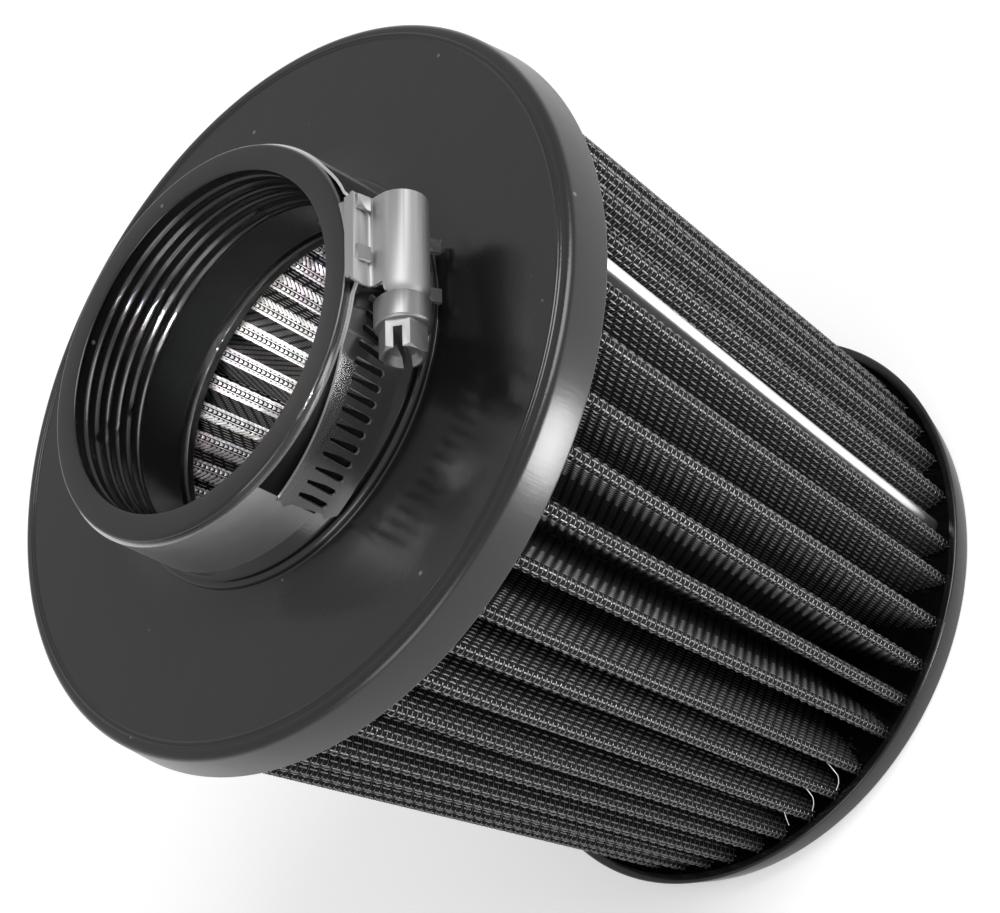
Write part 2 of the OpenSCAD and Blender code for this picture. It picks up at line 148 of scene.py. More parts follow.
# Base with its neck
# One black polyurethane moulding, poured round the wide end of the pleats. Its neck slides on the
# pipe, soft ribs inside the neck grip the pipe, and a bead rounds the foot of the neck.
BASE_FACE = 138.6
BASE_T = 9.4
BASE_R = 76
BASE_FLARE = 0.6
BASE_EDGE = 1.8
BASE_BACK = BASE_FACE - BASE_T
MOUTH = 160.7
NECK_R = 40.4
NECK_EDGE = 0.8
BORE_R = 34.9
RIB_DEPTH = 0.7
RIB_COUNT = 6
RIB_PITCH = 2.7
RIB_TOP = MOUTH - 1.6
RIB_WIDTH = 0.85
BEAD_R = 42.6
BEAD_H = 1.9
RIDGE_H = 0.3
RIDGES = (BASE_R - 3.3, BASE_R - 2.6)
WALL_R = BORE_R + RIB_DEPTH
STEPS_ROUND = 288
# Small cuts in the ribs: turn and height of each
RIB_NICKS = ((137.0, 153.2), (130.5, 150.1), (121.7, 146.6), (38.0, 144.8))
NICK_R = 1.1
RUBBER_GREY = 0.006
DUST_GREY = 0.12
# Radii in metres between which the rubber turns duller, at the rim of the base
RIM_START = 0.0748
RIM_END = 0.0756


def arc(centre_r, centre_z, r, start, end, count=6):
    """Points on a circle round (centre_r, centre_z), from the turn `start` to the turn `end`."""
    turn = np.radians(np.linspace(start, end, count))
    return np.stack([centre_r + r * np.cos(turn), centre_z + r * np.sin(turn)], 1)


def bump(distance):
    """1 at distance 0, falling smoothly to 0 at distance 1: the square of one minus the distance squared."""
    return np.clip(1 - distance ** 2, 0, None) ** 2


def base_outline():
    """The closed section through base and neck, radius first: up the ribbed bore, over the mouth and
    back along the face."""
    z = np.linspace(BASE_BACK + 4, MOUTH - 1.1, 76)
    middles = RIB_TOP - RIB_PITCH * (np.arange(RIB_COUNT) + 1) + RIB_WIDTH / 2
    ribs = bump((z[:, None] - middles) / RIB_WIDTH * 1.25).sum(1)
    bore = np.stack([WALL_R - RIB_DEPTH * ribs, z], 1)
    face_r = np.linspace(RIDGES[0] - 0.5, RIDGES[1] + 0.5, 13)
    lines = sum(bump((face_r - ridge) / 0.3) for ridge in RIDGES)
    face = np.stack([face_r, BASE_FACE + RIDGE_H * lines], 1)
    return np.concatenate([
        arc(BORE_R + 0.4, BASE_BACK + 0.4, 0.4, 270, 180, 4),
        arc(BORE_R + 0.4, BASE_BACK + 1.6, 0.4, 180, 90, 4),
        arc(WALL_R + 0.1, BASE_BACK + 2.7, 0.6, 250, 400, 5)[::-1],
        bore,
        arc(BORE_R + 0.5, MOUTH - 0.5, 0.5, 180, 90, 5),
        arc(NECK_R - NECK_EDGE, MOUTH - NECK_EDGE, NECK_EDGE, 90, 0, 6),
        [[NECK_R, BASE_FACE + BEAD_H + 0.4]],
        arc(BEAD_R - BEAD_H * 0.6, BASE_FACE + BEAD_H * 0.45, BEAD_H * 0.6, 105, -35, 8),
        [[BEAD_R + 0.2, BASE_FACE + 0.02], [BEAD_R + 8, BASE_FACE], [BASE_R - 12, BASE_FACE]],
        face,
        arc(BASE_R - BASE_EDGE, BASE_FACE - BASE_EDGE, BASE_EDGE, 90, 0, 9),
        arc(BASE_R + BASE_FLARE - 0.6, BASE_BACK + 0.6, 0.6, 0, -90, 5),
    ])


def around(outline, count, dent=None):
    """Carries a closed outline round Z in `count` steps: X is radius times cosine, and Y is radius times
    sine. The function `dent` may add to the radius."""
    turn = np.linspace(0, 360, count, endpoint=False)
    radius = np.repeat(outline[:, :1], count, 1)
    height = np.repeat(outline[:, 1:], count, 1)
    if dent:
        radius = radius + dent(turn, radius, height)
    angle = np.radians(turn)
    return np.stack([radius * np.cos(angle), radius * np.sin(angle), height], 2)


def grid_faces(rows, columns, loop_rows=True, loop_columns=True):
    """Four corners of each cell of a grid whose points are numbered row by row. A looped grid joins its
    last line to its first."""
    row = np.arange(rows if loop_rows else rows - 1)[:, None]
    column = np.arange(columns if loop_columns else columns - 1)
    below, beside = (row + 1) % rows, (column + 1) % columns
    corners = [
        row * columns + column,
        row * columns + beside,
        below * columns + beside,
        below * columns + column,
    ]
    return np.stack(np.broadcast_arrays(*corners), 2).reshape(-1, 4)


def make_piece(name, points, faces, finish, body="filter"):
    """Turns points in millimetres and lists of corners into a mesh that rides on a body."""
    mesh = bpy.data.meshes.new(name)
    corners = [corner for block in faces for corner in block.tolist()]
    mesh.from_pydata((points.reshape(-1, 3) * MM).tolist(), [], corners)
    mesh.materials.append(finish)
    mesh.shade_smooth()
    made = bpy.data.objects.new(name, mesh)
    scene.collection.objects.link(made)
    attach(made, body)
    return made


def new_finish(name, grey, roughness, metallic=0.0):
    """A material with a Principled shader of one grey, and its nodes and links for what is added."""
    finish = bpy.data.materials.new(name)
    finish.use_nodes = True
    nodes, links = finish.node_tree.nodes, finish.node_tree.links
    shader = nodes["Principled BSDF"]
    shader.inputs["Base Color"].default_value = (grey, grey, grey, 1)
    shader.inputs["Roughness"].default_value = roughness
    shader.inputs["Metallic"].default_value = metallic
    return finish, nodes, links, shader


def noise(nodes, links, scale, detail=4, stretch=(1, 1, 1)):
    """Noise in the piece's own space. `scale` is in cells to the metre, and `stretch` multiplies it along
    each axis."""
    place = nodes.new("ShaderNodeTexCoord")
    mapping = nodes.new("ShaderNodeMapping")
    mapping.inputs["Scale"].default_value = stretch
    links.new(place.outputs["Object"], mapping.inputs["Vector"])
    pattern = nodes.new("ShaderNodeTexNoise")
    pattern.inputs["Scale"].default_value = scale
    pattern.inputs["Detail"].default_value = detail
    links.new(mapping.outputs["Vector"], pattern.inputs["Vector"])
    return pattern.outputs["Fac"]


def ramp(nodes, links, value, low, high, start, end):
    """Maps a value that runs from `low` to `high` onto `start` to `end`."""
    mapped = nodes.new("ShaderNodeMapRange")
    mapped.inputs["From Min"].default_value = low
    mapped.inputs["From Max"].default_value = high
    mapped.inputs["To Min"].default_value = start
    mapped.inputs["To Max"].default_value = end
    links.new(value, mapped.inputs["Value"])
    return mapped.outputs["Result"]


def relief(nodes, links, shader, height, distance, strength=1.0):
    """Bump from a height of 0 to 1, `distance` metres deep."""
    lift = nodes.new("ShaderNodeBump")
    lift.inputs["Distance"].default_value = distance
    lift.inputs["Strength"].default_value = strength
    links.new(height, lift.inputs["Height"])
    links.new(lift.outputs["Normal"], shader.inputs["Normal"])


def tinted(nodes, links, shader, share, grey):
    """Mixes the shader's own grey with another by `share`, and returns the socket of the other grey."""
    tint = nodes.new("ShaderNodeMix")
    tint.data_type = "RGBA"
    tint.inputs["A"].default_value = shader.inputs["Base Color"].default_value
    tint.inputs["B"].default_value = (grey, grey, grey, 1)
    links.new(share, tint.inputs["Factor"])
    links.new(tint.outputs["Result"], shader.inputs["Base Color"])
    return tint.inputs["B"]


def rubber_finish(name, gloss):
    """Satin black polyurethane: a release film of uneven gloss, faint flow marks and specks of dust."""
    finish, nodes, links, shader = new_finish(name, RUBBER_GREY, 0.2)
    shader.inputs["Specular IOR Level"].default_value = gloss
    cloudy = ramp(nodes, links, noise(nodes, links, 28, 3), 0.3, 0.7, 0.14, 0.28)
    place = nodes.new("ShaderNodeTexCoord")
    level = nodes.new("ShaderNodeMapping")
    level.inputs["Scale"].default_value = (1, 1, 0)
    links.new(place.outputs["Object"], level.inputs["Vector"])
    radius = nodes.new("ShaderNodeVectorMath")
    radius.operation = "LENGTH"
    links.new(level.outputs["Vector"], radius.inputs[0])
    rim = ramp(nodes, links, radius.outputs["Value"], RIM_START, RIM_END, 0.1, 0.3)
    links.new(maths(nodes, links, "MAXIMUM", cloudy, rim), shader.inputs["Roughness"])
    cells = nodes.new("ShaderNodeTexVoronoi")
    cells.inputs["Scale"].default_value = 110
    links.new(place.outputs["Object"], cells.inputs["Vector"])
    tinted(nodes, links, shader, ramp(nodes, links, cells.outputs["Distance"], 0.03, 0.06, 1, 0), DUST_GREY)
    lines = ramp(nodes, links, noise(nodes, links, 1500, 2, (1, 1, 0.05)), 0, 1, 0, 0.12)
    relief(nodes, links, shader, maths(nodes, links, "ADD", noise(nodes, links, 90, 5), lines), 0.0004, 0.3)
    return finish


def rib_nicks(turn, radius, height):
    """Small dents that cut back the ribs at a few places: the bump of the distance from each, taken from
    the ribs' own height."""
    cut = 0
    for nick_turn, nick_z in RIB_NICKS:
        along = np.radians((turn - nick_turn + 180) % 360 - 180) * WALL_R / NICK_R
        cut = cut + bump(np.hypot(along, (height - nick_z) / (2 * NICK_R)))
    inside = radius < WALL_R + 0.01
    return np.where(inside, np.minimum(cut, 1) * (WALL_R + 0.2 - radius), 0)


outline = base_outline()
points = around(outline, STEPS_ROUND, rib_nicks)
faces = [grid_faces(len(outline), STEPS_ROUND)[:, ::-1]]
base = make_piece("base_moulding", points, faces, rubber_finish("base_polyurethane", 0.62))
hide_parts("base_flange")

# End cap
# The second polyurethane moulding: a shallow dish poured round the narrow end of the pleats,
# with a slightly conical wall and soft edges.
CAP_R = 61.4
CAP_FOOT_R = 59.4
CAP_H = 6.8
CAP_FLOOR = 5
CAP_WALL = 2.1


def cap_outline():
    """The section through the dish: from the axis out along the underside, up the wall and in along the
    floor."""
    return np.concatenate([
        [[0.01, 0], [20, 0], [CAP_FOOT_R - 3, 0]],
        arc(CAP_FOOT_R - 0.8, 0.8, 0.8, -90, -6, 6),
        arc(CAP_R - 0.6, CAP_H - 0.6, 0.6, 6, 90, 6),
        arc(CAP_R - CAP_WALL + 0.4, CAP_H - 0.4, 0.4, 90, 180, 4),
        [[CAP_R - CAP_WALL - 0.2, CAP_FLOOR], [CAP_R - 12, CAP_FLOOR], [20, CAP_FLOOR], [0.01, CAP_FLOOR]],
    ])


outline = cap_outline()
points = around(outline, STEPS_ROUND)
faces = [grid_faces(len(outline), STEPS_ROUND)[:, ::-1]]
cap = make_piece("end_cap_moulding", points, faces, rubber_finish("cap_polyurethane", 0.46))
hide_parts("end_cap")

# Gauze
# Black oiled cotton gauze, pleated between the two meshes and potted in the two mouldings. The
# pleats are not quite even, lean and wander a little, and the clipped one at the seam stands lower.
PLEATS = 46
TIP_R = 73.3
TIP_R_CAP = 58.2
PLEAT_DEPTH = 30
TIP_W = 3.2
TIP_W_CAP = 2.6
FOLD_W = 2.5
SEAM_W = 2.3
GAUZE_T = 0.6
MESH_T = 0.25
PACK_T = GAUZE_T + 2 * MESH_T
SEAM_TURN = -50.7
LEAN = 1.6
SEAM_DROP = 1.8
SEAM_DROP_CAP = 3.1
STEPS_UP = (0.75, 1.19, 1.09, 1.02, 1.15)
STEPS_DOWN = (0.7, 1, 1.18, 1.19, 1.02, 0.96, 1.21, 0.9, 0.93, 0.98, 0.83, 0.98, 0.8, 0.9, 0.92)
WANDER = 0.22
# How far the base ends of the pleats by the seam are turned: the seam's, and then those before it
BASE_TURNS = (1.6, 1.35, 0.8, 0.6, 1.5, 0.7, -0.5)
# Greys of the cotton, of the coated wires deep in the pleats, painted lighter than the coated wire as
# painted light, and of the bright wires
GAUZE_GREY = 0.006
DEEP_WIRE_PAINTED_LIGHT = 0.55
BRIGHT = 0.9


def tip_turns():
    """Turn of each tip from the seam, and a last one after a whole turn: running sums of the steps, of
    which the unlisted ones are even."""
    even = (PLEATS - sum(STEPS_UP) - sum(STEPS_DOWN)) / (PLEATS - len(STEPS_UP) - len(STEPS_DOWN))
    middle = [even] * (PLEATS - len(STEPS_UP) - len(STEPS_DOWN))
    steps = [*STEPS_UP, *middle, *STEPS_DOWN[::-1]]
    return np.concatenate([[0], np.cumsum(steps)]) * 360 / PLEATS


TURNS = tip_turns()
PULL = np.zeros(PLEATS)
PULL[-np.arange(len(BASE_TURNS))] = BASE_TURNS
chance = np.random.default_rng(7)
WAVE_START = chance.uniform(0, 2 * np.pi, PLEATS)
WAVE_SIZE = chance.uniform(0.3, 1, PLEATS) * WANDER


def ray(turn):
    """A unit step in the direction `turn`, as a complex number: X is real and Y is imaginary."""
    return np.exp(1j * np.radians(turn))


def pack_point(pleat, path, rise, depth):
    """A point of the pleated pack. The path runs 0 to 1 over the pleat's tip, to 2 down to the fold,
    to 3 round it and to 4 up to the next tip, and below 0 it goes back down the side before the tip.
    Rise is 0 at the end cap and 1 at the base, and depth counts inwards from the outer face."""
    pleat, path, rise, depth = np.broadcast_arrays(pleat, path, rise, depth)
    pleat = np.where(path < 0, pleat - 1, pleat) % PLEATS
    path = np.where(path < 0, path + 4, path)
    after = (pleat + 1) % PLEATS
    wave = np.sin(np.pi * rise)
    sway = wave * WAVE_SIZE[pleat] * np.sin(5 * rise + WAVE_START[pleat])
    sway_after = wave * WAVE_SIZE[after] * np.sin(5 * rise + WAVE_START[after])
    turn = SEAM_TURN + (LEAN + PULL[pleat]) * rise + TURNS[pleat] + sway
    turn_after = SEAM_TURN + (LEAN + PULL[after]) * rise + TURNS[pleat + 1] + sway_after
    between = (turn + turn_after) / 2
    tip = TIP_R_CAP + (TIP_R - TIP_R_CAP) * rise
    even = TIP_W_CAP + (TIP_W - TIP_W_CAP) * rise
    half = np.where(pleat == 0, SEAM_W, even) / 2
    half_after = np.where(after == 0, SEAM_W, even) / 2
    drop = SEAM_DROP_CAP + (SEAM_DROP - SEAM_DROP_CAP) * rise
    centre = tip - half - drop * (pleat == 0)
    centre_after = tip - half_after - drop * (after == 0)
    fold_c = tip - PLEAT_DEPTH + FOLD_W / 2
    fold_r = FOLD_W / 2 - PACK_T + depth
    over_tip = centre * ray(turn) + (half - depth) * ray(turn - 90 + 180 * np.clip(path, 0, 1))
    round_fold = fold_c * ray(between) + fold_r * ray(between + 270 - 180 * np.clip(path - 2, 0, 1))
    next_tip = centre_after * ray(turn_after) + (half_after - depth) * ray(turn_after - 90)
    down = over_tip + (round_fold - over_tip) * (path - 1)
    up = round_fold + (next_tip - round_fold) * (path - 3)
    flat = np.where(path < 1, over_tip, np.where(path < 2, down, np.where(path < 3, round_fold, up)))
    height = CAP_FLOOR + (BASE_BACK - CAP_FLOOR) * rise
    return np.stack([flat.real, flat.imag, height], -1)


def gauze_finish():
    """Black cotton with an uneven nap. Deeper in the pleats the woven wires are a pattern on it: wires lie
    at whole numbers of `weave` X, and show at every other row, where the cosine of half turns of X + Y is
    high. Z is 0 outside, where the wires are darker, in a grey painted lighter than the coated wire to stand
    for light reaching into the pleats, and 1 inside, where they are bright."""
    finish, nodes, links, shader = new_finish("oiled_gauze", GAUZE_GREY, 0.85)
    shader.inputs["Specular IOR Level"].default_value = 0.2
    weave = nodes.new("ShaderNodeAttribute")
    weave.attribute_name = "weave"
    parts = nodes.new("ShaderNodeSeparateXYZ")
    links.new(weave.outputs["Vector"], parts.inputs["Vector"])
    wire = maths(nodes, links, "ROUND", parts.outputs["X"])
    beside = maths(nodes, links, "ABSOLUTE", maths(nodes, links, "SUBTRACT", parts.outputs["X"], wire))
    half_turns = maths(nodes, links, "ADD", wire, parts.outputs["Y"])
    wave = maths(nodes, links, "COSINE", maths(nodes, links, "MULTIPLY", half_turns, math.pi))
    strand = ramp(nodes, links, beside, 0.06, 0.13, 1, 0)
    shown = maths(nodes, links, "MULTIPLY", strand, ramp(nodes, links, wave, -0.7, -0.3, 0, 1))
    wire_grey = tinted(nodes, links, shader, shown, BRIGHT)
    # Painted light: the outer wires deep in the pleats get a lighter grey than the coated wire.
    links.new(ramp(nodes, links, parts.outputs["Z"], 0, 1, DEEP_WIRE_PAINTED_LIGHT, BRIGHT), wire_grey)
    links.new(shown, shader.inputs["Metallic"])
    links.new(ramp(nodes, links, shown, 0, 1, 0.85, 0.4), shader.inputs["Roughness"])
    nap = ramp(nodes, links, noise(nodes, links, 900, 3), 0, 1, 0, 0.5)
    height = maths(nodes, links, "ADD", nap, maths(nodes, links, "MULTIPLY", shown, 0.5))
    relief(nodes, links, shader, height, 0.0003, 0.6)
    return finish


ROWS = 90
gauze_path = np.concatenate([np.linspace(0, 1, 7), [1.33, 1.67], np.linspace(2, 3, 5), [3.33, 3.67]])
gauze_rise = np.linspace(0, 1, 9)
# Number of the wire at each whole path value: three steps over the tip, and many down a side
SIDE_STEPS = 19
WIRE_PATH = (-1, 0, 1, 2, 3, 4)
WIRE_COUNT = (-SIDE_STEPS, 0, 3, SIDE_STEPS + 3, SIDE_STEPS + 4, 2 * SIDE_STEPS + 4)
GAUZE_OUT = 0.16
GAUZE_IN = PACK_T - GAUZE_OUT


def gauze_wall():
    """Outer and inner skins over all pleats, joined at the two ends: a looped grid that goes up outside and
    down inside."""
    rises = np.concatenate([gauze_rise, gauze_rise[::-1]])
    depths = np.repeat([GAUZE_OUT, GAUZE_IN], len(gauze_rise))
    pleat = np.repeat(np.arange(PLEATS), len(gauze_path))
    path = np.tile(gauze_path, PLEATS)
    return pack_point(pleat, path, rises[:, None], depths[:, None])


def mark_weave(mesh):
    """Gives each corner of the wall's faces the wire number and the row number it lies at, and its side."""
    column = WIRE_COUNT[-1] * np.arange(PLEATS)[:, None] + np.interp(gauze_path, WIRE_PATH, WIRE_COUNT)
    column = np.append(column.ravel(), WIRE_COUNT[-1] * PLEATS)
    row = ROWS * np.concatenate([gauze_rise, gauze_rise[::-1], [0]]) - 0.5
    rows, columns = len(row) - 1, len(column) - 1
    across = np.stack([column[:-1], column[1:], column[1:], column[:-1]], 1)
    along = np.stack([row[:-1], row[:-1], row[1:], row[1:]], 1)
    values = np.zeros((rows, columns, 4, 3), np.float32)
    values[..., 0] = across
    values[..., 1] = along[:, None]
    values[len(gauze_rise):, ..., 2] = 1
    mesh.attributes.new("weave", "FLOAT_VECTOR", "CORNER").data.foreach_set("vector", values.ravel())


wall = gauze_wall()
gauze = make_piece("gauze_fabric", wall, [grid_faces(*wall.shape[:2])], gauze_finish())
mark_weave(gauze.data)
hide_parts("gauze_media")

# Outer mesh
# Woven aluminium wire with a black coating, pleated with the gauze. Crimped wires run along the
# pleats, over one cross wire and under the next, and thin cross wires go over every pleat.
WIRE_GREY = 0.27
OUTER_WIRE = 0.125
OVER = 0.02
UNDER = 0.4
CROSS_DEPTHS = (0.3, 0.2, 0.16, 0.16, 0.16, 0.2, 0.3)
SIDE_WIRES = 6


def tube(paths, out, radius, sides=3):
    """A thin closed tube along each path of an array (wires, points, 3). Each ring of points starts on the
    side `out`, and each point is the path's plus radius times (cosine upright + sine across)."""
    ahead = np.gradient(paths, axis=1)
    ahead /= np.linalg.norm(ahead, axis=2, keepdims=True)
    across = np.cross(ahead, out)
    across /= np.linalg.norm(across, axis=2, keepdims=True)
    upright = np.cross(across, ahead)
    angle = np.arange(sides) * 2 * np.pi / sides
    ring = np.cos(angle)[:, None] * upright[:, :, None] + np.sin(angle)[:, None] * across[:, :, None]
    points = paths[:, :, None] + radius * ring
    wires, length = paths.shape[:2]
    first = np.arange(wires)[:, None] * length * sides
    walls = grid_faces(length, sides, loop_rows=False)
    walls = (first[:, :, None] + walls).reshape(-1, 4)
    start = first + np.arange(sides)
    end = start + (length - 1) * sides
    return points.reshape(-1, 3), [walls, start, end[:, ::-1]]


def outward(pleat, path, rise, depth):
    """Direction away from the pack at a point: from a point a little deeper to one a little less deep."""
    step = pack_point(pleat, path, rise, depth - 0.05) - pack_point(pleat, path, rise, depth + 0.05)
    return step / np.linalg.norm(step, axis=-1, keepdims=True)


def wires_along(pleats, paths, numbers, rows, over, under, radius):
    """Wires along the pleats at the given path values. A wire is at the depth `over` at each row where its
    own number and the row's add up to an even number, and at the depth `under` at the others."""
    pleat, path = [a.ravel()[:, None] for a in np.meshgrid(pleats, paths, indexing="ij")]
    order = np.tile(numbers, len(pleats))[:, None] + np.arange(-1, rows + 1)
    rise = np.clip((np.arange(-1, rows + 1) + 0.5) / rows, 0, 1)
    deep = np.where(order % 2, under, over)
    points = pack_point(pleat, path, rise, deep)
    return tube(points, outward(pleat, path, rise, deep), radius)


def wires_across(paths, rows, depth, radius):
    """Cross wires over each pleat, one for each row. Paths and depths are lists along the wire."""
    pleat, row = [a.ravel()[:, None] for a in np.meshgrid(np.arange(PLEATS), np.arange(rows), indexing="ij")]
    rise = (row + 0.5) / rows
    points = pack_point(pleat, np.array(paths), rise, np.array(depth))
    return tube(points, outward(pleat, np.array(paths), rise, np.array(depth)), radius)


def coated_finish():
    """Coated wire with a dark sheen, the coating worn thin here and there."""
    finish, nodes, links, shader = new_finish("coated_wire", WIRE_GREY, 0.35, 0.9)
    uneven = noise(nodes, links, 160, 3)
    links.new(ramp(nodes, links, uneven, 0.3, 0.7, 0.25, 0.45), shader.inputs["Roughness"])
    return finish


coated = coated_finish()
tip_numbers = np.arange(4)
side_numbers = 3 + np.arange(1, SIDE_WIRES + 1)
tip_paths = np.interp(tip_numbers, WIRE_COUNT, WIRE_PATH)
side_paths = np.interp(side_numbers, WIRE_COUNT, WIRE_PATH)
reach = (SIDE_WIRES + 0.5) / SIDE_STEPS
cross_paths = [-reach, 0, 0.25, 0.5, 0.75, 1, 1 + reach]
all_pleats = np.arange(PLEATS)
groups = {
    "outer_tip_wires": wires_along(all_pleats[1:], tip_paths, tip_numbers, ROWS, OVER, UNDER, OUTER_WIRE),
    "outer_side_wires_a": wires_along(all_pleats, side_paths, side_numbers, ROWS, OVER, UNDER, OUTER_WIRE),
    "outer_side_wires_b": wires_along(
        all_pleats, 1 - side_paths, 3 - side_numbers, ROWS, OVER, UNDER, OUTER_WIRE
    ),
    "outer_cross_wires": wires_across(cross_paths, ROWS, CROSS_DEPTHS, OUTER_WIRE),
}
for name, (points, faces) in groups.items():
    wires = make_piece(name, points, faces, coated)
    if name == "outer_cross_wires":
        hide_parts("outer_mesh")

# Inner mesh
# Bright woven aluminium wire on the inner side of the gauze. Through the neck it shows at the
# inner folds as rows of bright beads.
INNER_ROWS = 108
INNER_KNOTS = 24
INNER_WIRE = 0.12
INNER_CROSS_WIRE = 0.42
INNER_PATHS = (1.92, 2.12, 2.3, 2.5, 2.7, 2.88, 3.08)
INNER_CRIMPS = (-0.1, 0.05, -0.4, 0.05, -0.4, 0.05, -0.1)
# Loose strands of wire that stick out between the pleats near the end cap: turn and height along each
STRANDS = (
    ((244.5, 14.6), (244.1, 13.0), (243.4, 10.8), (242.0, 9.0), (240.4, 7.7)),
    ((251.1, 13.8), (250.7, 12.0), (250.0, 9.8), (248.6, 8.2), (247.0, 7.3)),
    ((238.0, 14.6), (237.5, 13.3), (236.8, 12.2), (236.1, 11.1), (234.8, 8.7)),
)
STRAND_R = (56.5, 58.2, 58.5, 58.5, 58.5)
STRAND_WIRE = 0.1


def loose_strands():
    """Each strand starts between the pleats and bends towards the end cap. Its points are a quarter of the
    one before, a half of their own place and a quarter of the one after."""
    steps = np.linspace(0, 4, 17)
    listed_at = np.arange(len(STRAND_R))
    columns = np.transpose(STRANDS, (0, 2, 1))
    knots = np.array([[np.interp(steps, listed_at, values) for values in pair] for pair in columns])
    flat = np.interp(steps, listed_at, STRAND_R) * ray(knots[:, 0])
    away = np.stack([flat.real, flat.imag, 0 * flat.real], 2)
    paths = away + knots[:, 1, :, None] * (0, 0, 1)
    paths[:, 1:-1] = (paths[:, :-2] + 2 * paths[:, 1:-1] + paths[:, 2:]) / 4
    return tube(paths, away / np.linalg.norm(away, axis=2, keepdims=True), STRAND_WIRE, 6)


bright = new_finish("bright_wire", BRIGHT, 0.35, 0.5)[0]
middle = PACK_T - MESH_T / 2 - 0.05
inner_depths = middle + np.array(INNER_CRIMPS)
groups = {
    "inner_axial_wires": wires_along(
        all_pleats, [2.3, 2.7], [0, 0], INNER_KNOTS, middle, middle, INNER_WIRE
    ),
    "inner_cross_wires": wires_across(INNER_PATHS, INNER_ROWS, inner_depths, INNER_CROSS_WIRE),
    "loose_strands": loose_strands(),
}
for name, (points, faces) in groups.items():
    wires = make_piece(name, points, faces, bright)
    if name == "inner_cross_wires":
        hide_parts("inner_mesh")

# Seam clip
# A narrow strip of polished steel, folded over the two ends of the pleated pack and pressed
# tight. It runs from the end cap to the base.
CLIP_T = 0.3
CLIP_SIDE = 8
CLIP_FIT = 0.05
FOLD_GAP = 0.3
CLIP_ROWS = 24
CLIP_ARC = 13


def steel_finish(name, grey, roughness, streaks=None):
    """Stainless steel. Streaks, where given, are the stretch of the brushed lines along each axis."""
    finish, nodes, links, shader = new_finish(name, grey, roughness, 1.0)
    if streaks:
        brushed = noise(nodes, links, 150, 3, streaks)
        uneven = ramp(nodes, links, brushed, 0.3, 0.7, roughness - 0.03, roughness + 0.03)
        links.new(uneven, shader.inputs["Roughness"])
    return finish


def clip_strip():
    """The folded section, a half circle with two straight sides, carried up the pleat at the seam: out is
    centre plus r cosine, and side is r sine. The sides are spread by what the pleat's legs need."""
    rise = np.linspace(0, 1, CLIP_ROWS)[:, None]
    tip = TIP_R_CAP + (TIP_R - TIP_R_CAP) * rise
    half = SEAM_W / 2
    centre = tip - half - SEAM_DROP_CAP - (SEAM_DROP - SEAM_DROP_CAP) * rise
    fold_c = tip - PLEAT_DEPTH + FOLD_W / 2
    lean = np.radians(max(STEPS_UP[0], STEPS_DOWN[0]) * 180 / PLEATS)
    drift = fold_c * math.sin(lean) - (FOLD_GAP + SEAM_W) / 2
    spread = CLIP_FIT + CLIP_SIDE * np.maximum(0, drift) / (centre - fold_c * math.cos(lean))
    angle = np.radians(np.linspace(-90, 90, CLIP_ARC))
    rows = []
    for grow, order in ((CLIP_T, 1), (0, -1)):
        r = half + grow
        out = np.concatenate([centre - CLIP_SIDE, centre + r * np.cos(angle), centre - CLIP_SIDE], 1)
        side = np.concatenate([-r - spread, r * np.sin(angle) + 0 * rise, r + spread], 1)
        rows.append((out + 1j * side)[:, ::order])
    sway = np.sin(np.pi * rise) * WAVE_SIZE[0] * np.sin(5 * rise + WAVE_START[0])
    flat = np.concatenate(rows, 1) * ray(SEAM_TURN + (LEAN + PULL[0]) * rise + sway)
    height = np.broadcast_to(CAP_FLOOR + (BASE_BACK - CAP_FLOOR) * rise, flat.shape)
    return np.stack([flat.real, flat.imag, height], 2)


strip = clip_strip()
columns = strip.shape[1]
half_ring = np.arange(columns // 2 - 1)
end = np.stack([half_ring, half_ring + 1, columns - 2 - half_ring, columns - 1 - half_ring], 1)
faces = [grid_faces(len(strip), columns, loop_rows=False), end[:, ::-1], end + (len(strip) - 1) * columns]
polished = steel_finish("polished_strip", 0.92, 0.36)
clip = make_piece("seam_clip_strip", strip, faces, polished)
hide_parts("seam_clip")

# Hose clamp
# A worm drive clamp of stainless steel round the neck: a slotted band, a saddle and a housing of
# formed sheet, and a screw with a slotted hexagonal head. Bevels round the edges of the solids.
BAND_T = 0.6
# Cosine between a face's normal and the direction away from Z, above which the face is a wide one
WIDE_FACE = 0.88
# Turns between which the tail covers the inner turn, and where the inner turn gets painted shade
TAIL_TURNS = (-118, -50)
# Places of the band's finishes in its list
TAIL, INNER_TURN, UNDER_TAIL, CUT_EDGE = range(4)
BRUSHED = (1, 1, 30)


def softened(node, name, steels, body, bevel, shade=None):
    """A merged copy of a node's mesh with its flat faces made whole, and its edges rounded by a bevel in
    millimetres. The function `shade` gives the place of each face's finish in `steels`."""
    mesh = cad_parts[node].data.copy()
    work = bmesh.new()
    work.from_mesh(mesh)
    bmesh.ops.remove_doubles(work, verts=work.verts, dist=1e-6)
    bmesh.ops.dissolve_limit(work, angle_limit=math.radians(0.5), verts=work.verts, edges=work.edges)
    mesh.materials.clear()
    for steel in steels:
        mesh.materials.append(steel)
    if shade:
        for face in work.faces:
            face.material_index = shade(face.calc_center_median(), face.normal)
    work.to_mesh(mesh)
    work.free()
    mesh.shade_smooth()
    made = bpy.data.objects.new(name, mesh)
    scene.collection.objects.link(made)
    edge = made.modifiers.new("edge", "BEVEL")
    edge.width = bevel * MM
    edge.segments = 2
    edge.limit_method = "ANGLE"
    edge.angle_limit = math.radians(30)
    edge.harden_normals = True
    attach(made, body)
    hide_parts(node)
    return made


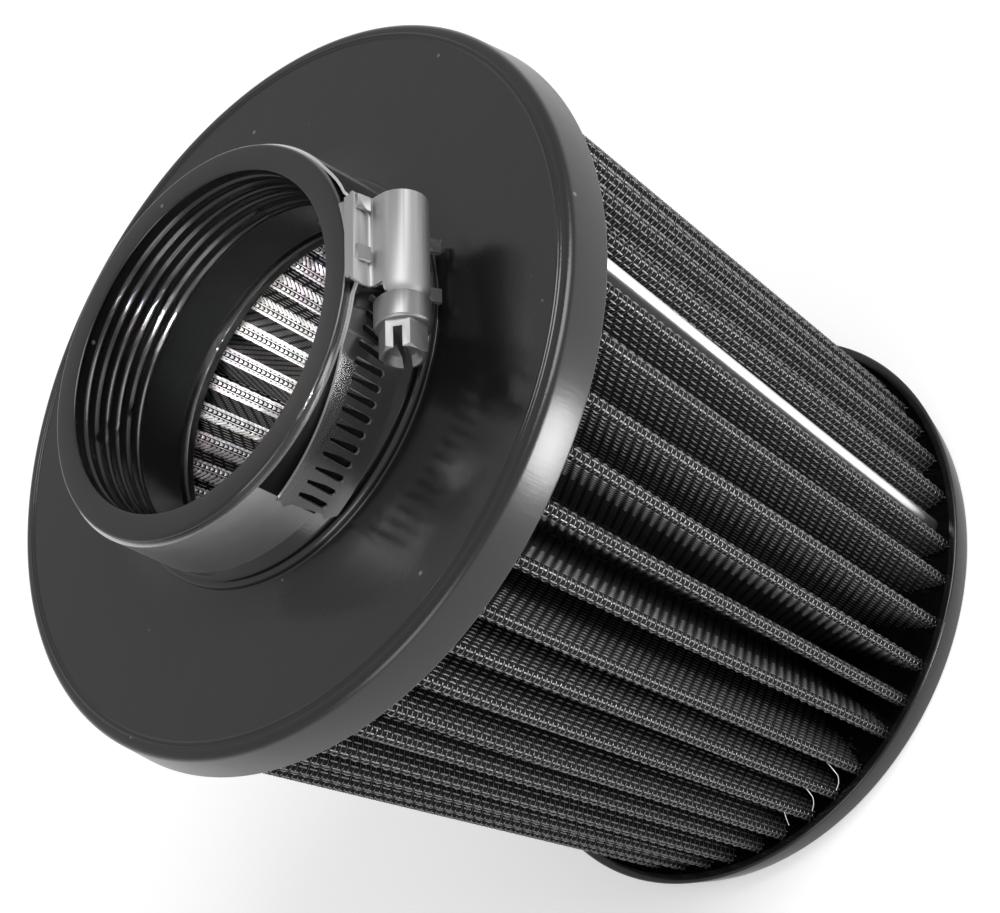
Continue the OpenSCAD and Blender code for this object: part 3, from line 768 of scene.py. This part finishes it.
def band_shade(middle, normal):
    """Place of the finish of one of the band's faces, from its middle and its normal. Under the tail, the
    inner turn gets painted shade.
    """
    turn = math.degrees(math.atan2(middle.y, middle.x))
    outside = middle.x * normal.x + middle.y * normal.y > 0
    if not outside or math.hypot(middle.x, middle.y) > (NECK_R + BAND_T + 0.02) * MM:
        return TAIL
    return UNDER_TAIL if TAIL_TURNS[0] < turn < TAIL_TURNS[1] else INNER_TURN


def listed(items, field, kind=float, width=1):
    """One field of all items of a mesh as an array."""
    values = np.empty(width * len(items), kind)
    items.foreach_get(field, values)
    return values.reshape(-1, width) if width > 1 else values


def finish_band(mesh):
    """Makes the wide faces mirror like a true cylinder: the normal at each corner is (x, y, 0) over its
    length, or the opposite. The other faces, the cut edges, keep their own normals and get a near-white
    steel, a painted highlight along the edges."""
    sizes = listed(mesh.polygons, "loop_total", int)
    flat = listed(mesh.polygons, "normal", width=3)
    middles = listed(mesh.polygons, "center", width=3) * (1, 1, 0)
    along = (flat * middles).sum(1) / np.linalg.norm(middles, axis=1)
    wide = abs(along) > WIDE_FACE
    steels = np.where(wide, listed(mesh.polygons, "material_index", int), CUT_EDGE)
    mesh.polygons.foreach_set("material_index", steels)
    away = listed(mesh.vertices, "co", width=3)[listed(mesh.loops, "vertex_index", int)] * (1, 1, 0)
    away *= np.repeat(np.sign(along), sizes)[:, None] / np.linalg.norm(away, axis=1, keepdims=True)
    normals = np.where(np.repeat(wide, sizes)[:, None], away, np.repeat(flat, sizes, 0))
    mesh.normals_split_custom_set(normals.tolist())


# Painted shade: the inner turn under the tail is near-black steel with little gloss, standing for the shade
# there.
painted_shade_steel, _, _, shaded = new_finish("painted_shade_steel", 0.006, 0.6)
shaded.inputs["Specular IOR Level"].default_value = 0.1
# The band is one steel, given in lit and shaded copies: the tail is painted darker, a painted dark
# reflection, and the inner turn is painted lighter.
band_steels = [
    steel_finish("tail_steel_painted_dark", 0.42, 0.18, BRUSHED),
    steel_finish("turn_steel_painted_light", 0.65, 0.34, BRUSHED),
    painted_shade_steel,
    # Painted highlight: the cut edges are near-white steel, so that they show as bright lines.
    steel_finish("cut_edge_painted_highlight", 0.95, 0.4),
]
sheet_steel = steel_finish("sheet_steel", 0.44, 0.55)
screw_steel = steel_finish("screw_steel", 0.28, 0.42)
band = softened("clamp_band", "band_strip", band_steels, "filter", 0.18, band_shade)
rounded = bpy.data.meshes.new_from_object(band.evaluated_get(bpy.context.evaluated_depsgraph_get()))
band.modifiers.clear()
band.data = rounded
finish_band(rounded)
softened("clamp_saddle", "saddle_sheet", [sheet_steel], "filter", 0.12)
softened("clamp_housing", "housing_sheet", [sheet_steel], "filter", 0.12)
softened("clamp_screw", "worm_screw", [screw_steel], "screw", 0.12)
